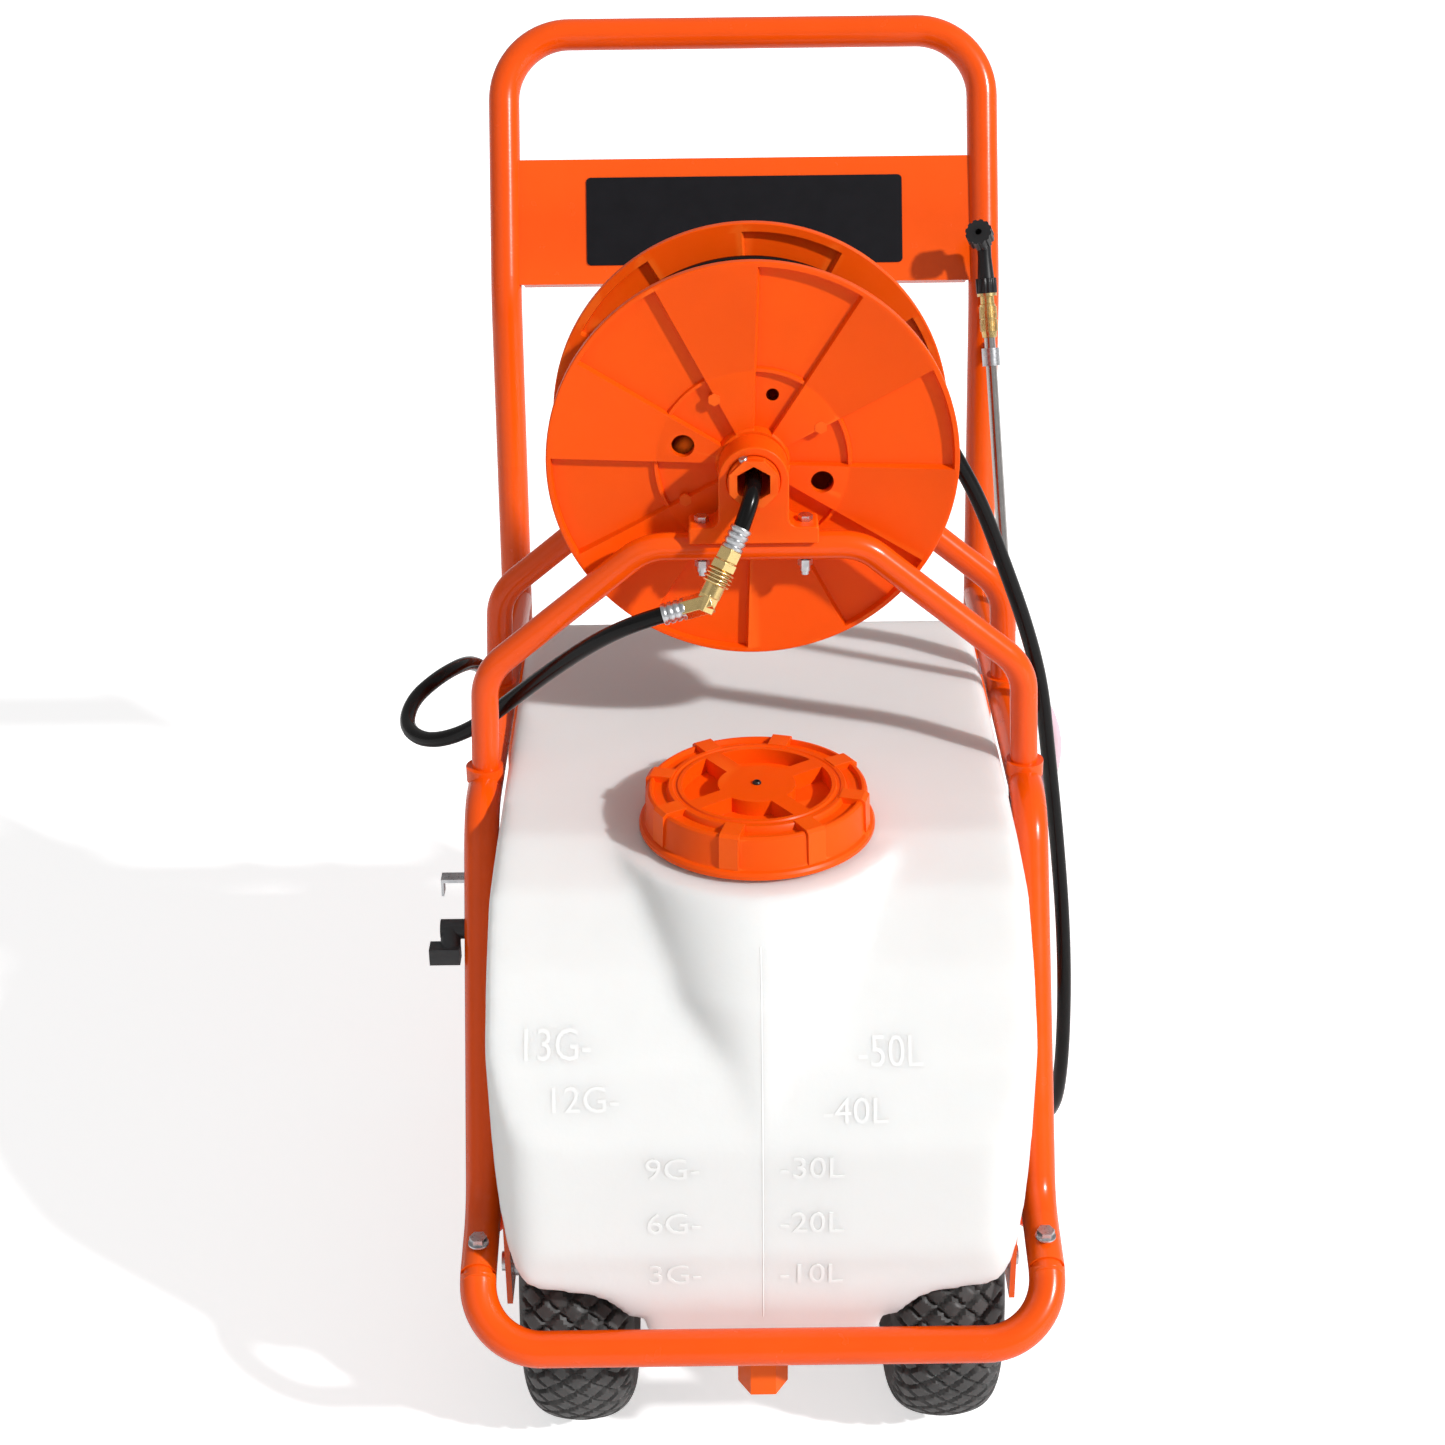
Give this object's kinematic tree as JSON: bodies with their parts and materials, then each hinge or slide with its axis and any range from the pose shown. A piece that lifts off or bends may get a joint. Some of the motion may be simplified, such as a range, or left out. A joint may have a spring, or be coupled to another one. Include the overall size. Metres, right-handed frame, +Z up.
{
  "type": "wheeled sprayer cart",
  "caption": "Wheeled cart sprayer: bent tube frame, plastic tank with screw lid, crank hose reel, pump, battery and spray wand.",
  "frame": {"origin": "floor level, under the middle of the cart's length and width", "axes": "+Z up, +Y from the front bumper towards the handle, +X towards the side that carries the wand"},
  "size_m": [0.5938, 0.866, 0.997],
  "materials": {
    "orange_paint": "semi-gloss",
    "orange_plastic": "satin",
    "tank_plastic": "satin",
    "black_rubber": "matte",
    "hose_rubber": "satin",
    "clear_hose": "gloss",
    "black_plastic": "satin",
    "label_black": "matte",
    "zinc_steel": "satin",
    "brass": "satin",
    "steel_tube": "polished"
  },
  "bodies": {
    "root": {"front_bumper": "orange_paint", "side_rail_right": "orange_paint", "side_rail_left": "orange_paint", "lower_rails": "orange_paint", "rear_legs": "orange_paint", "handle_loop": "orange_paint", "cross_bars": "orange_paint", "axle_brackets": "orange_paint", "handle_panel": "orange_paint", "front_reel_stand": "orange_paint", "rear_reel_stand": "orange_paint", "battery_tray": "orange_paint", "control_panel": "orange_paint", "bearing_blocks": "orange_plastic", "tank": "tank_plastic", "strainer_basket": "tank_plastic", "feet": "black_rubber", "hose_hook": "black_rubber", "hub_hose": "hose_rubber", "inlet_hose": "hose_rubber", "hose_tail": "hose_rubber", "return_hose": "clear_hose", "battery_box": "black_plastic", "battery": "black_plastic", "nozzle_elbow": "black_plastic", "spray_gun": "black_plastic", "switch_body": "black_plastic", "pump_head": "black_plastic", "pressure_gauge": "black_plastic", "panel_label": "label_black", "axle": "zinc_steel", "bolts": "zinc_steel", "plated_clips": "zinc_steel", "hose_ferrules": "zinc_steel", "pump_motor": "zinc_steel", "brass_swivel": "brass", "wand_coupler": "brass", "hose_barbs": "brass", "regulator_body": "brass", "wand_tube": "steel_tube"},
    "wheel_left": {"tyre_left": "black_rubber", "rim_left": "zinc_steel"},
    "wheel_right": {"tyre_right": "black_rubber", "rim_right": "zinc_steel"},
    "reel": {"reel_front_flange": "orange_plastic", "reel_rear_flange": "orange_plastic", "reel_drum": "orange_plastic", "hose_winding": "hose_rubber", "reel_tie_bolts": "zinc_steel", "crank_arm": "zinc_steel"},
    "crank_grip": {"crank_knob": "black_plastic"},
    "lid_seal": {"lid_gasket": "black_rubber"},
    "lid": {"tank_lid": "orange_plastic"},
    "drain_plug": {"drain_cap": "orange_plastic"},
    "trigger": {"gun_trigger": "black_plastic"},
    "nozzle": {"nozzle_cap": "black_plastic"},
    "switch_rocker": {"power_switch": "black_plastic"},
    "pressure_knob": {"regulator_knob": "black_plastic"},
    "needle": {"gauge_needle": "black_plastic"},
    "battery_cover": {"battery_lid": "black_plastic"}
  },
  "joints": [
    {"name": "wheel_left_spin", "type": "hinge", "parent": "root", "child": "wheel_left", "pos_m": [-0.146, -0.265, 0.127], "axis": [1, 0, 0], "continuous": true},
    {"name": "wheel_right_spin", "type": "hinge", "parent": "root", "child": "wheel_right", "pos_m": [0.146, -0.265, 0.127], "axis": [1, 0, 0], "continuous": true},
    {"name": "reel_spin", "type": "hinge", "parent": "root", "child": "reel", "pos_m": [0, -0.035, 0.756], "axis": [0, 1, 0], "continuous": true},
    {"name": "crank_grip_spin", "type": "hinge", "parent": "reel", "child": "crank_grip", "pos_m": [0, 0.11, 0.646], "axis": [0, 1, 0], "continuous": true},
    {"name": "lid_lift", "type": "slide", "parent": "root", "child": "lid_seal", "axis": [0, 0, 1], "range_m": [0, 0.09]},
    {"name": "lid_turn", "type": "hinge", "parent": "lid_seal", "child": "lid", "pos_m": [0, -0.214, 0.53], "axis": [0, 0, 1], "continuous": true},
    {"name": "drain_pull", "type": "slide", "parent": "root", "child": "drain_plug", "axis": [0, 0, -1], "range_m": [0, 0.03]},
    {"name": "trigger_pull", "type": "hinge", "parent": "root", "child": "trigger", "pos_m": [0.24679, 0.13798, 0.37162], "axis": [1, 0, 0], "range_deg": [0, 8], "stiffness_Nm_per_rad": 0.2},
    {"name": "nozzle_turn", "type": "hinge", "parent": "root", "child": "nozzle", "pos_m": [0.21227, 0.29455, 0.82353], "axis": [-0.2791, -0.7177, 0.638], "range_deg": [0, 270]},
    {"name": "switch_press", "type": "hinge", "parent": "root", "child": "switch_rocker", "pos_m": [0.096, 0.25357, 0.428], "axis": [1, 0, 0], "range_deg": [-11, 0]},
    {"name": "pressure_turn", "type": "hinge", "parent": "root", "child": "pressure_knob", "pos_m": [0.02, 0.26757, 0.428], "axis": [0, 1, 0], "range_deg": [0, 270]},
    {"name": "needle_sweep", "type": "hinge", "parent": "root", "child": "needle", "pos_m": [-0.07, 0.26757, 0.428], "axis": [0, 1, 0], "range_deg": [0, 270]},
    {"name": "battery_cover_open", "type": "hinge", "parent": "root", "child": "battery_cover", "pos_m": [0.071, 0.177, 0.322], "axis": [1, 0, 0], "range_deg": [0, 35]}
  ]
}
